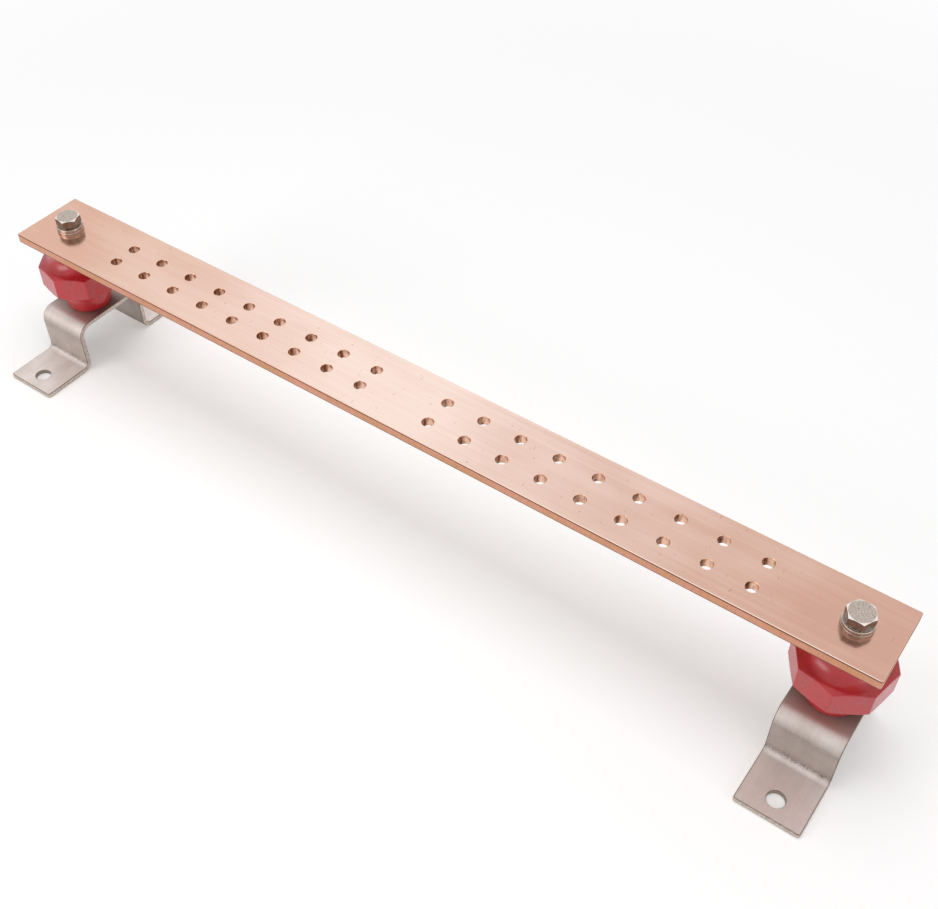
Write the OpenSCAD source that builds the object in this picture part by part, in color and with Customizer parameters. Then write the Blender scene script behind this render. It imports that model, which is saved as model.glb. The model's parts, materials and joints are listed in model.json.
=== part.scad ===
// Rack grounding busbar: a drilled copper bar carried at each end on a moulded standoff insulator,
// which is bolted to a hat-shaped stainless bracket with two screw-down feet.
//
// Frame: +X along the bar, +Y across it, +Z up, origin on the floor plane below the bar's middle.
// side = -1 is the left end, side = 1 the right end.

/* [Busbar] */
// Length of the copper bar
bar_length = 609.6; // [580:0.1:640]
// Width of the copper bar
bar_width = 50.8; // [44:0.1:60]
// Thickness of the copper bar
bar_thick = 6.35; // [4:0.01:10]
// Rounding of the bar's four upright corners
bar_corner_r = 1.0; // [0.5:0.1:4]
// Distance of each standoff bolt from the bar's nearest end
bolt_end_gap = 23.8; // [18:0.1:30]

/* [Lug holes] */
// Diameter of a lug hole
lug_hole_d = 7.14; // [5:0.01:9]
// Distance between neighbouring lug holes along the bar
lug_pitch = 25.4; // [20:0.1:26]
// Number of lug holes in one row of one group
lug_columns = 9; // [1:1:9]
// Distance between the two rows of the left group
left_row_gap = 15.875; // [12:0.001:24]
// Distance between the two rows of the right group
right_row_gap = 19.05; // [12:0.001:24]

/* [Insulators] */
// Height of an insulator between its end faces
insulator_height = 53.98; // [46:0.01:66]
// Distance across the flats of the octagonal band
band_flats = 50.8; // [49:0.1:60]
// Height of the octagonal band
band_height = 17.5; // [10:0.1:22]
// Width of the flat rim between the band's flats and the hollow fillet
band_rim = 1.0; // [0.4:0.1:2]
// Radius of the hollow fillet between the band and a boss
cove_r = 8.0; // [6:0.1:9]
// Radius of the round boss at its end face
boss_end_r = 15.0; // [12:0.1:16]
// Angle of the band's first corner from the bar's length
band_turn = 9.6; // [0:0.1:45]

/* [Threaded inserts] */
// Wall of an insert around its thread
insert_wall = 3.15; // [2:0.01:4]
// Metal below an insert's blind hole
insert_floor = 2.05; // [1:0.01:3]
// Depth of the blind hole past the longest bolt
insert_spare_depth = 1.54; // [0.5:0.01:3]
// Depth of the anchoring groove around an insert
insert_groove_depth = 1.0; // [0.4:0.1:1.5]
// Width of the anchoring groove
insert_groove_width = 4.0; // [2:0.1:6]

/* [Bolts and washers] */
// Thread diameter of the bolts
bolt_d = 9.525; // [8:0.001:10]
// Radial gap between a bolt and the thread of its insert
thread_gap = 0.02; // [0.01:0.01:0.1]
// Radial gap between a bolt and its hole in the bar or a bracket
bolt_hole_gap = 0.39; // [0.1:0.01:0.8]
// Radial gap between a bolt and a washer
washer_gap = 0.24; // [0.1:0.01:0.4]
// Depth that a top bolt reaches into its insert
top_bolt_reach = 15.46; // [10:0.01:17]
// Depth that a bottom bolt reaches into its insert
bottom_bolt_reach = 12.28; // [8:0.01:17]
// Distance across the flats of a bolt head
head_flats = 14.29; // [13:0.01:16]
// Height of a bolt head
head_height = 6.2; // [5:0.1:7]
// Height of the round washer face under a head
washer_face_height = 0.4; // [0.2:0.1:0.8]
// Slope of the chamfer around a head's top, in degrees
head_chamfer = 30; // [15:1:35]
// Height of the chamfer at a bolt's tip
bolt_tip = 1.2; // [0.5:0.1:2]
// Turn of the left top bolt's head
left_head_turn = 52; // [0:1:60]
// Turn of the right top bolt's head
right_head_turn = 1; // [0:1:60]
// Outside diameter of a split lock washer
lock_washer_d = 17.3; // [16:0.1:18]
// Thickness of a split lock washer
lock_washer_thick = 2.39; // [1.5:0.01:3]
// Width of the cut in a lock washer
split_width = 1.0; // [0.4:0.1:2]
// Slant of the cut in a lock washer, in degrees
split_slant = 20; // [0:1:35]
// Turn of the cut in the left top lock washer
left_split_turn = 150; // [0:1:360]
// Turn of the cut in the right top lock washer
right_split_turn = 60; // [0:1:360]
// Outside diameter of a flat washer
flat_washer_d = 17.5; // [16:0.1:20]
// Thickness of a flat washer
flat_washer_thick = 1.2; // [0.8:0.1:2]

/* [Brackets] */
// Width of the bracket strip
strip_width = 38.1; // [30:0.1:42]
// Thickness of the bracket strip
strip_thick = 3.175; // [2:0.001:4]
// Height of the bracket's top face above its feet
bracket_rise = 36.5; // [32:0.1:50]
// Distance between the outer faces of the two legs
leg_span = 57.15; // [50:0.01:64]
// Distance between the ends of the two feet
foot_span = 130.2; // [124:0.1:150]
// Distance between the two foot holes
foot_hole_gap = 106.4; // [98:0.1:110]
// Diameter of a foot hole
foot_hole_d = 10.3; // [8:0.1:11]
// Radius inside the two bends at the top
top_bend_r = 6.4; // [3:0.1:8]
// Radius inside the two bends at the feet
foot_bend_r = 4.0; // [2:0.1:6]
// Rounding of the feet's corners
foot_corner_r = 1.5; // [0.5:0.1:5]

/* [Hidden] */
$fn = 96;

LEFT = -1;
RIGHT = 1;
// How far a cutting shape runs past the face it cuts
cut_margin = 1;

station_x = bar_length / 2 - bolt_end_gap;

bolt_hole_d = bolt_d + 2 * bolt_hole_gap;
washer_bore_d = bolt_d + 2 * washer_gap;
washers_thick = flat_washer_thick + lock_washer_thick;
top_bolt_length = washers_thick + bar_thick + top_bolt_reach;
bottom_bolt_length = washers_thick + strip_thick + bottom_bolt_reach;
washer_face_d = 0.95 * head_flats;

insert_bore_d = bolt_d + 2 * thread_gap;
insert_d = insert_bore_d + 2 * insert_wall;
insert_hole_depth = max(top_bolt_reach, bottom_bolt_reach) + insert_spare_depth;
insert_length = insert_hole_depth + insert_floor;

band_sides = 8;
cove_outer_r = band_flats / 2 - band_rim;
boss_root_r = cove_outer_r - cove_r;

// Heights of the stack, from the floor up
insulator_bottom_z = bracket_rise;
insulator_top_z = insulator_bottom_z + insulator_height;
bar_top_z = insulator_top_z + bar_thick;
top_lock_washer_z = bar_top_z + flat_washer_thick;
top_head_z = top_lock_washer_z + lock_washer_thick;
plate_bottom_z = bracket_rise - strip_thick;
bottom_lock_washer_z = plate_bottom_z - flat_washer_thick;
bottom_head_z = bottom_lock_washer_z - lock_washer_thick;

// Corner radius of a regular polygon from the distance across its flats
function corner_r(flats, sides) = flats / 2 / cos(180 / sides);

// Puts a shape that is drawn on the Z axis at one of the two standoffs
module station(side, z = 0) {
    translate([side * station_x, 0, z]) children();
}

// A slab lying on z = 0 whose upright corners are rounded
module rounded_slab(length, width, thick, corner) {
    translate([-length / 2 + corner, -width / 2, 0]) cube([length - 2 * corner, width, thick]);
    translate([-length / 2, -width / 2 + corner, 0]) cube([length, width - 2 * corner, thick]);
    for (x = [-1, 1], y = [-1, 1])
        translate([x * (length / 2 - corner), y * (width / 2 - corner), 0])
            cylinder(h = thick, r = corner);
}

// ---- Busbar ----

// One group of lug holes: two rows that begin one pitch from the bar's middle
module lug_holes(side, row_gap) {
    for (column = [1 : lug_columns], row = [-1, 1])
        translate([side * column * lug_pitch, row * row_gap / 2, -cut_margin])
            cylinder(h = bar_thick + 2 * cut_margin, d = lug_hole_d);
}

module busbar() {
    color("#c58f78")
    translate([0, 0, insulator_top_z])
    difference() {
        rounded_slab(bar_length, bar_width, bar_thick, bar_corner_r);
        lug_holes(LEFT, left_row_gap);
        lug_holes(RIGHT, right_row_gap);
        for (side = [LEFT, RIGHT])
            station(side, -cut_margin)
                cylinder(h = bar_thick + 2 * cut_margin, d = bolt_hole_d);
    }
}

// ---- Insulators ----

// Half section of the round body: bosses above and below, joined to the band by hollow fillets
module insulator_half_section() {
    half_band = band_height / 2;
    cove_centre_z = half_band + cove_r;
    difference() {
        translate([0, -cove_centre_z]) square([cove_outer_r, 2 * cove_centre_z]);
        for (up = [-1, 1])
            translate([cove_outer_r, up * cove_centre_z]) circle(r = cove_r);
    }
    for (up = [-1, 1])
        polygon([
            [0, up * half_band],
            [boss_root_r, up * cove_centre_z],
            [boss_end_r, up * insulator_height / 2],
            [0, up * insulator_height / 2]
        ]);
}

module octagonal_band() {
    outer_r = corner_r(band_flats, band_sides);
    cylinder(h = band_height, r = outer_r, center = true, $fn = band_sides);
}

module insulator(side) {
    color("#b3202c")
    difference() {
        station(side, insulator_bottom_z + insulator_height / 2) {
            rotate([0, 0, band_turn])
                octagonal_band();
            rotate_extrude() insulator_half_section();
        }
        station(side, insulator_top_z) insert_blank();
        station(side, insulator_bottom_z) mirror([0, 0, 1]) insert_blank();
    }
}

// ---- Threaded inserts ----

// Outside of an insert: mouth at z = 0, body below, with the groove that anchors it in the moulding
module insert_blank() {
    groove_bottom_z = -(insert_length + insert_groove_width) / 2;
    difference() {
        translate([0, 0, -insert_length]) cylinder(h = insert_length, d = insert_d);
        translate([0, 0, groove_bottom_z])
            difference() {
                cylinder(h = insert_groove_width, d = insert_d + 2 * cut_margin);
                translate([0, 0, -cut_margin])
                    cylinder(
                        h = insert_groove_width + 2 * cut_margin,
                        d = insert_d - 2 * insert_groove_depth
                    );
            }
    }
}

// A brass insert with its blind thread, mouth at z = 0
module threaded_insert() {
    color("#c9a24a")
    difference() {
        insert_blank();
        translate([0, 0, -insert_hole_depth])
            cylinder(h = insert_hole_depth + cut_margin, d = insert_bore_d);
    }
}

module top_insert(side) {
    station(side, insulator_top_z) threaded_insert();
}

module bottom_insert(side) {
    station(side, insulator_bottom_z) mirror([0, 0, 1]) threaded_insert();
}

// ---- Bolts and washers ----

// A hex bolt: the head stands on z = 0, the shank hangs below it
module hex_bolt(length) {
    color("#b9b6b1") {
        hex_head();
        translate([0, 0, bolt_tip - length]) cylinder(h = length - bolt_tip, d = bolt_d);
        translate([0, 0, -length])
            cylinder(h = bolt_tip, d1 = bolt_d - 2 * bolt_tip, d2 = bolt_d);
    }
}

// A hexagon on a round washer face, its top corners cut back by a cone
module hex_head() {
    corner = corner_r(head_flats, 6);
    cone_r = corner + cut_margin;
    cone_drop = (cone_r - washer_face_d / 2) * tan(head_chamfer);
    cylinder(h = washer_face_height, d = washer_face_d);
    intersection() {
        translate([0, 0, washer_face_height])
            cylinder(h = head_height - washer_face_height, r = corner, $fn = 6);
        rotate_extrude()
            polygon([
                [0, 0],
                [cone_r, 0],
                [cone_r, head_height - cone_drop],
                [washer_face_d / 2, head_height],
                [0, head_height]
            ]);
    }
}

// A flat round washer lying on z = 0
module flat_washer() {
    color("#b4b1ab")
    difference() {
        cylinder(h = flat_washer_thick, d = flat_washer_d);
        translate([0, 0, -cut_margin])
            cylinder(h = flat_washer_thick + 2 * cut_margin, d = washer_bore_d);
    }
}

// A flattened split lock washer lying on z = 0, its slanted cut on the +X side
module lock_washer() {
    color("#a9a6a1")
    difference() {
        cylinder(h = lock_washer_thick, d = lock_washer_d);
        translate([0, 0, -cut_margin])
            cylinder(h = lock_washer_thick + 2 * cut_margin, d = washer_bore_d);
        translate([lock_washer_d / 2, 0, lock_washer_thick / 2])
            rotate([split_slant, 0, 0])
                cube([lock_washer_d, split_width, lock_washer_thick * 3], center = true);
    }
}

module top_bolt(side) {
    head_turn = side == LEFT ? left_head_turn : right_head_turn;
    station(side, top_head_z) rotate([0, 0, head_turn]) hex_bolt(top_bolt_length);
}

module top_lock_washer(side) {
    split_turn = side == LEFT ? left_split_turn : right_split_turn;
    station(side, top_lock_washer_z) rotate([0, 0, split_turn]) lock_washer();
}

module top_flat_washer(side) {
    station(side, bar_top_z) flat_washer();
}

module bottom_bolt(side) {
    station(side, bottom_head_z) mirror([0, 0, 1]) hex_bolt(bottom_bolt_length);
}

module bottom_lock_washer(side) {
    station(side, bottom_lock_washer_z) mirror([0, 0, 1]) lock_washer();
}

module bottom_flat_washer(side) {
    station(side, plate_bottom_z) mirror([0, 0, 1]) flat_washer();
}

// ---- Brackets ----

// A quarter of a strip's bend about the origin, in the quadrant given by the two signs
module quarter_bend(inner_r, sign_x, sign_y) {
    outer_r = inner_r + strip_thick;
    mirror([sign_x < 0 ? 1 : 0, 0])
        mirror([0, sign_y < 0 ? 1 : 0])
            intersection() {
                difference() {
                    circle(r = outer_r);
                    circle(r = inner_r);
                }
                square(outer_r);
            }
}

// Half of the folded strip seen along the bar: plate, top bend, leg, foot bend, foot
module half_hat_section() {
    leg_outer = leg_span / 2;
    leg_inner = leg_outer - strip_thick;
    top_bend_y = leg_inner - top_bend_r;
    top_bend_z = plate_bottom_z - top_bend_r;
    foot_bend_y = leg_outer + foot_bend_r;
    foot_bend_z = strip_thick + foot_bend_r;
    translate([0, plate_bottom_z]) square([top_bend_y, strip_thick]);
    translate([top_bend_y, top_bend_z]) quarter_bend(top_bend_r, 1, 1);
    translate([leg_inner, foot_bend_z]) square([strip_thick, top_bend_z - foot_bend_z]);
    translate([foot_bend_y, foot_bend_z]) quarter_bend(foot_bend_r, -1, -1);
    translate([foot_bend_y, 0]) square([foot_span / 2 - foot_bend_y, strip_thick]);
}

module bracket(side) {
    color("#a8a49d")
    station(side)
    difference() {
        intersection() {
            rotate([90, 0, 90])
                linear_extrude(height = strip_width, center = true)
                    for (half = [0, 1]) mirror([half, 0]) half_hat_section();
            rounded_slab(strip_width, foot_span, bracket_rise, foot_corner_r);
        }
        translate([0, 0, plate_bottom_z - cut_margin])
            cylinder(h = strip_thick + 2 * cut_margin, d = bolt_hole_d);
        for (y = [-1, 1])
            translate([0, y * foot_hole_gap / 2, -cut_margin])
                cylinder(h = strip_thick + 2 * cut_margin, d = foot_hole_d);
    }
}

// ---- Nodes ----

busbar();
insulator(LEFT);  // insulator_left
insulator(RIGHT);  // insulator_right
top_insert(LEFT);  // top_insert_left
top_insert(RIGHT);  // top_insert_right
bottom_insert(LEFT);  // bottom_insert_left
bottom_insert(RIGHT);  // bottom_insert_right
top_bolt(LEFT);  // top_bolt_left
top_bolt(RIGHT);  // top_bolt_right
top_lock_washer(LEFT);  // top_lock_washer_left
top_lock_washer(RIGHT);  // top_lock_washer_right
top_flat_washer(LEFT);  // top_flat_washer_left
top_flat_washer(RIGHT);  // top_flat_washer_right
bracket(LEFT);  // bracket_left
bracket(RIGHT);  // bracket_right
bottom_bolt(LEFT);  // bottom_bolt_left
bottom_bolt(RIGHT);  // bottom_bolt_right
bottom_lock_washer(LEFT);  // bottom_lock_washer_left
bottom_lock_washer(RIGHT);  // bottom_lock_washer_right
bottom_flat_washer(LEFT);  // bottom_flat_washer_left
bottom_flat_washer(RIGHT);  // bottom_flat_washer_right
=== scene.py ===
import json
import math

import bpy
import numpy as np
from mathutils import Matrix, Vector


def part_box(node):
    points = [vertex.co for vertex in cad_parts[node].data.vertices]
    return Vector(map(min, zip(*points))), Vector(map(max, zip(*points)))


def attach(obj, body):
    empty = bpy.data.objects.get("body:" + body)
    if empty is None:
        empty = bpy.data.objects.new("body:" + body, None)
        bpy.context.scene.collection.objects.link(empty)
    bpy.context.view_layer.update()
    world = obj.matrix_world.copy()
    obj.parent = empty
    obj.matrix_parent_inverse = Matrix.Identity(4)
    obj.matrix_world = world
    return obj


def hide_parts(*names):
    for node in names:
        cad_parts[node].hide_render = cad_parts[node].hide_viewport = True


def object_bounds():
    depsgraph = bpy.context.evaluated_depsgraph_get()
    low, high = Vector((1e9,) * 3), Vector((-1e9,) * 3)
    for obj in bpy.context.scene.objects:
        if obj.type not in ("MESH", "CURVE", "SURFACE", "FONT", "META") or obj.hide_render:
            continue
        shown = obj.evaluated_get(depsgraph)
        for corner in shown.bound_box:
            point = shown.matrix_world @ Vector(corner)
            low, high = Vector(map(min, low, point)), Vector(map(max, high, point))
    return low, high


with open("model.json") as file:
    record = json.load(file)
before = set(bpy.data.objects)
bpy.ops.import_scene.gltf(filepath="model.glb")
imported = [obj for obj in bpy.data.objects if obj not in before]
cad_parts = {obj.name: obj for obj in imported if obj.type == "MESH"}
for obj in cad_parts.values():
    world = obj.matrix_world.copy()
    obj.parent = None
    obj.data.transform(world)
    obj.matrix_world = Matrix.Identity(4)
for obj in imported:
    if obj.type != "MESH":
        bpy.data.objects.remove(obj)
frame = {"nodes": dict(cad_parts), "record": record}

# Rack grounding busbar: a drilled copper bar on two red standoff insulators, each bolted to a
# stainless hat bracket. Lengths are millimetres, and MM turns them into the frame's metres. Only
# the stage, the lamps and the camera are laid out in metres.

CAD_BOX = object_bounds()
MM = 0.001
SIDES = ("left", "right")
ENDS = ("top", "bottom")


# ---- Places taken from the frame ----

def box_mm(node):
    """Lowest and highest corner of a CAD node, as two arrays in millimetres."""
    low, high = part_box(node)
    return np.array(low) / MM, np.array(high) / MM


def centre_mm(node):
    """Middle of a CAD node's box, in millimetres."""
    low, high = box_mm(node)
    return (low + high) / 2


MOUNTS = {mount["name"]: mount for mount in frame["record"]["mounts"]}


# ---- Mesh helpers ----

# What a face of a slab belongs to: its flat faces, its outer edge, or the wall of a hole.
FACE, EDGE, BORE = 0, 1, 2


def quads(ids, wrap=False):
    """Faces between neighbouring rows and columns of an array of point numbers.
    wrap joins the last column to the first."""
    if wrap:
        ids = np.hstack([ids, ids[:, :1]])
    corners = [ids[:-1, :-1], ids[:-1, 1:], ids[1:, 1:], ids[1:, :-1]]
    return np.stack(corners, axis=-1).reshape(-1, 4)


def fan(ids, hub):
    """Triangles from a hub point to a closed ring of points."""
    return np.stack([ids, np.roll(ids, -1), np.full(len(ids), hub)], axis=-1)


def enclosed_volume(points, faces):
    """Signed volume of a closed mesh: the sum of a . (b x c) / 6 over its triangles."""
    total = 0.0
    for group in faces:
        for k in range(1, group.shape[1] - 1):
            a, b, c = points[group[:, 0]], points[group[:, k]], points[group[:, k + 1]]
            total += np.einsum("ij,ij->", a, np.cross(b, c)) / 6
    return total


def make_piece(name, points, faces, materials, replaces=(), face_material=None):
    """One finished piece, from points in millimetres and a list of arrays of faces, with its faces
    turned outwards."""
    if enclosed_volume(points, faces) < 0:
        faces = [group[:, ::-1] for group in faces]
    mesh = bpy.data.meshes.new(name)
    mesh.from_pydata((points * MM).tolist(), [], [f for group in faces for f in group.tolist()])
    mesh.polygons.foreach_set("use_smooth", np.ones(len(mesh.polygons), dtype=bool))
    for material in materials:
        mesh.materials.append(material)
    if face_material is not None:
        mesh.polygons.foreach_set("material_index", face_material)
    mesh.update()
    piece = bpy.data.objects.new(name, mesh)
    bpy.context.scene.collection.objects.link(piece)
    weighted = piece.modifiers.new("flat faces keep flat shading", "WEIGHTED_NORMAL")
    weighted.weight = 100
    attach(piece, "root")
    if replaces:
        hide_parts(*replaces)
    return piece


# ---- Shapes worked out as surfaces ----

def quarter_round(steps):
    """How far a rounded edge has gone out and down, in radii: sine and one minus cosine over a
    quarter turn."""
    turn = np.linspace(0, math.pi / 2, steps + 1)
    return np.sin(turn), 1 - np.cos(turn)


def square_steps(half, count):
    """Points from -half to half that a centre at distance half sees at even angles: half * tan."""
    return half * np.tan(np.linspace(-math.pi / 4, math.pi / 4, count + 1))


def round_corners(x, y, half_x, half_y, radius):
    """Turns the four square corners of a grid into quarter circles, and gives each point's outward
    direction. In a corner square the distance along the larger side becomes the distance from the
    corner's centre: p' = c + (p - c) * largest(|p - c|) / length(p - c)."""
    centre_x = np.sign(x) * (half_x - radius)
    centre_y = np.sign(y) * (half_y - radius)
    dx = np.where(np.abs(x) > half_x - radius, x - centre_x, 0.0)
    dy = np.where(np.abs(y) > half_y - radius, y - centre_y, 0.0)
    in_corner = (dx != 0) & (dy != 0)
    length = np.hypot(dx, dy)
    largest = np.maximum(np.abs(dx), np.abs(dy))
    scale = np.where(in_corner, largest / np.where(length > 0, length, 1), 1.0)
    new_x = np.where(in_corner, centre_x + dx * scale, x)
    new_y = np.where(in_corner, centre_y + dy * scale, y)
    at_side_x = np.isclose(np.abs(x), half_x)
    at_side_y = np.isclose(np.abs(y), half_y)
    out_x = np.where(in_corner, dx, np.where(at_side_x, np.sign(x), 0.0))
    out_y = np.where(in_corner, dy, np.where(at_side_y, np.sign(y), 0.0))
    norm = np.maximum(np.hypot(out_x, out_y), 1e-9)
    return new_x, new_y, out_x / norm, out_y / norm


def slab(columns, rows, holes, half_thick, corner_r, edge_r, hole_edge_r, edge_steps=4):
    """A flat slab with round holes, rounded corners and rounded edges, about z = 0.

    columns holds the x of each grid column and rows the y of each grid point, both for the flat
    face, which stops edge_r short of the slab's sides. A hole is (first column, last column, first
    row, last row, x, y, radius): its block of the grid is left out, and straight lines run from
    the block's border to the hole's circle. Every edge is a quarter circle in section.
    Returns the points, the faces, and for each face FACE, EDGE or BORE."""
    x = np.repeat(columns[:, None], rows.shape[1], axis=1)
    half_x, half_y = np.abs(x).max(), np.abs(rows).max()
    x, y, out_x, out_y = round_corners(x, rows, half_x, half_y, corner_r - edge_r)
    ids = np.arange(x.size).reshape(x.shape)
    keep = np.ones((x.shape[0] - 1, x.shape[1] - 1), dtype=bool)
    for i0, i1, j0, j1, *_ in holes:
        keep[i0:i1, j0:j1] = False
    flat = quads(ids)[keep.ravel()]
    border = np.concatenate([ids[:-1, 0], ids[-1, :-1], ids[:0:-1, -1], ids[0, :0:-1]])
    out, down = quarter_round(edge_steps)

    loops = [(x.ravel()[border], y.ravel()[border], out_x.ravel()[border], out_y.ravel()[border],
              edge_r, border)]
    grid_points = np.stack([x.ravel(), y.ravel(), np.full(x.size, half_thick)], axis=-1)
    count = 2 * x.size
    for i0, i1, j0, j1, hole_x, hole_y, radius in holes:
        ring = np.concatenate([ids[i0:i1, j0], ids[i1, j0:j1],
                               ids[i1:i0:-1, j1], ids[i0, j1:j0:-1]])
        dx, dy = x.ravel()[ring] - hole_x, y.ravel()[ring] - hole_y
        length = np.hypot(dx, dy)
        dx, dy = dx / length, dy / length
        mouth = radius + hole_edge_r
        loops.append((hole_x + dx * mouth, hole_y + dy * mouth, -dx, -dy, hole_edge_r, ring))

    points = [grid_points, grid_points * [1, 1, -1]]
    faces = [flat, flat[:, ::-1] + x.size]
    kinds = [np.full(2 * len(flat), FACE)]
    for number, (px, py, nx, ny, radius, joined) in enumerate(loops):
        offsets = radius * np.concatenate([out, out[::-1]])
        heights = np.concatenate([half_thick - radius * down, radius * down[::-1] - half_thick])
        ring_points = np.stack([
            px[None] + offsets[:, None] * nx[None],
            py[None] + offsets[:, None] * ny[None],
            np.repeat(heights[:, None], len(px), axis=1),
        ], axis=-1)
        ring_ids = count + np.arange(ring_points[..., 0].size).reshape(ring_points.shape[:2])
        points.append(ring_points.reshape(-1, 3))
        count += ring_ids.size
        if number == 0:
            ring_ids[0], ring_ids[-1] = joined, joined + x.size
            wall = quads(ring_ids, wrap=True)
            faces.append(wall)
            kinds.append(np.full(len(wall), EDGE))
        else:
            wall = quads(ring_ids, wrap=True)
            upper = quads(np.stack([joined, ring_ids[0]]), wrap=True)
            lower = quads(np.stack([ring_ids[-1], joined + x.size]), wrap=True)
            faces += [upper[:, ::-1], lower[:, ::-1], wall[:, ::-1]]
            kinds += [np.full(2 * len(px), FACE), np.full(len(wall), BORE)]
    points, faces = drop_unused(np.vstack(points), np.vstack(faces))
    return points, faces, np.concatenate(kinds).astype(np.int32)


def drop_unused(points, faces):
    """Leaves out points that no face uses, and renumbers the faces."""
    used = np.unique(faces)
    renumber = np.zeros(len(points), dtype=int)
    renumber[used] = np.arange(len(used))
    return points[used], renumber[faces]


def corner_circle(apothem, corner_r, sides):
    """Of a regular polygon with rounded corners: half the angle of a side, how far out a corner's
    circle has its centre, and how far from the corner's angle that circle meets the flats."""
    half = math.pi / sides
    centre = (apothem - corner_r) / math.cos(half)
    tangent = math.atan2(corner_r * math.sin(half), centre + corner_r * math.cos(half))
    return half, centre, tangent


def polygon_radius(angle, apothem, corner_r, sides, first_corner):
    """Distance from the centre to a regular polygon with rounded corners, along an angle.
    Near a corner it is the far crossing with the corner's circle, elsewhere apothem / cos."""
    half, centre, tangent = corner_circle(apothem, corner_r, sides)
    psi = np.abs((angle - first_corner + half) % (2 * half) - half)
    on_circle = centre * np.cos(psi) + np.sqrt(
        np.maximum(corner_r**2 - (centre * np.sin(psi)) ** 2, 0))
    return np.where(psi <= tangent, on_circle, apothem / np.cos(half - psi))


def polygon_angles(apothem, corner_r, sides, first_corner, corner_steps, flat_steps):
    """Angles around a polygon with rounded corners, close together where it turns."""
    half, _, tangent = corner_circle(apothem, corner_r, sides)
    one = np.concatenate([
        np.linspace(-tangent, tangent, corner_steps + 1)[:-1],
        np.linspace(tangent, 2 * half - tangent, flat_steps + 1)[:-1],
    ])
    return (first_corner + one[None] + 2 * half * np.arange(sides)[:, None]).ravel()


def turned(radii, heights, angles, centre, closed=False):
    """A surface around an upright axis: row k has the radius radii[k] and the height heights[k],
    each one number or one for every angle. closed joins the last row to the first, as on a ring,
    and otherwise a point on the axis closes each end."""
    shape = (len(radii), len(angles))
    r = np.stack([np.broadcast_to(row, shape[1:]) for row in radii])
    z = np.stack([np.broadcast_to(row, shape[1:]) for row in heights])
    points = np.stack([r * np.cos(angles), r * np.sin(angles), z], axis=-1).reshape(-1, 3)
    ids = np.arange(r.size).reshape(shape)
    if closed:
        faces = [quads(np.vstack([ids, ids[:1]]), wrap=True)]
    else:
        ends = np.array([[0, 0, z[0].mean()], [0, 0, z[-1].mean()]])
        points = np.vstack([points, ends])
        faces = [quads(ids, wrap=True), fan(ids[0][::-1], r.size), fan(ids[-1], r.size + 1)]
    return points + np.array(centre), faces


def even_angles(count):
    """Angles that share a whole turn evenly."""
    return np.linspace(0, 2 * math.pi, count, endpoint=False)


def split_ring(inner_r, outer_r, thick, rise, gap, slant, turn, centre, corner_r=0.35, stations=72):
    """A split lock washer: a rounded rectangle carried around an axis for one turn less the gap,
    while it climbs by rise. Each point is also turned by its height times tan(slant) over the mean
    radius, which slants the two end faces."""
    middle_r = (inner_r + outer_r) / 2
    out, down = quarter_round(3)
    half_w, half_t = (outer_r - inner_r) / 2, (thick - rise) / 2
    edge_w = half_w - corner_r + corner_r * out
    edge_t = half_t - corner_r * down
    section_w = np.concatenate([edge_w, edge_w[::-1], -edge_w, -edge_w[::-1]])
    section_z = np.concatenate([edge_t, -edge_t[::-1], -edge_t, edge_t[::-1]])
    angle = np.linspace(gap / 2, 2 * math.pi - gap / 2, stations)[:, None]
    angle = angle + turn + section_z[None] * math.tan(slant) / middle_r
    climb = np.linspace(-rise / 2, rise / 2, stations)[:, None]
    r = middle_r + section_w[None]
    rings = np.stack([r * np.cos(angle), r * np.sin(angle), section_z[None] + climb], axis=-1)
    ids = np.arange(rings[..., 0].size).reshape(rings.shape[:2])
    hubs = rings[[0, -1]].mean(axis=1)
    points = np.vstack([rings.reshape(-1, 3), hubs])
    faces = [quads(ids, wrap=True), fan(ids[0][::-1], ids.size), fan(ids[-1], ids.size + 1)]
    return points + np.array(centre), faces


# ---- Materials ----

# A Mix node's colour sockets go by number, because its other kinds of socket share their names.
FACTOR, A, B = 0, 6, 7
COLOURS = {"output": 2, "data_type": "RGBA"}


def srgb(code):
    """Linear colour from a hex code: each channel c becomes ((c + 0.055) / 1.055) ^ 2.4."""
    channels = np.array([int(code[i:i + 2], 16) for i in (1, 3, 5)]) / 255
    linear = np.where(channels <= 0.04045, channels / 12.92, ((channels + 0.055) / 1.055) ** 2.4)
    return (*linear.tolist(), 1.0)


def add(tree, kind, inputs=(), output=0, **settings):
    """Adds one shader node with its settings and links, and returns one of its outputs. Inputs
    come by name or in order, each a plain value or another node's output."""
    node = tree.nodes.new("ShaderNode" + kind)
    for name, value in settings.items():
        setattr(node, name, value)
    for name, value in inputs.items() if isinstance(inputs, dict) else enumerate(inputs):
        if isinstance(value, bpy.types.NodeSocket):
            tree.links.new(value, node.inputs[name])
        else:
            node.inputs[name].default_value = value
    return node.outputs[output] if node.outputs else None


def new_material(name):
    """A material, its node tree, and the place on the object, which every pattern starts from."""
    material = bpy.data.materials.new(name)
    material.use_nodes = True
    tree = material.node_tree
    tree.nodes.clear()
    return material, tree, add(tree, "TexCoord", output="Object")


def per_metre(*sizes_mm):
    """How many times a pattern of these sizes along X, Y and Z repeats in a metre."""
    return [1 / (size * MM) for size in sizes_mm]


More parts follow.
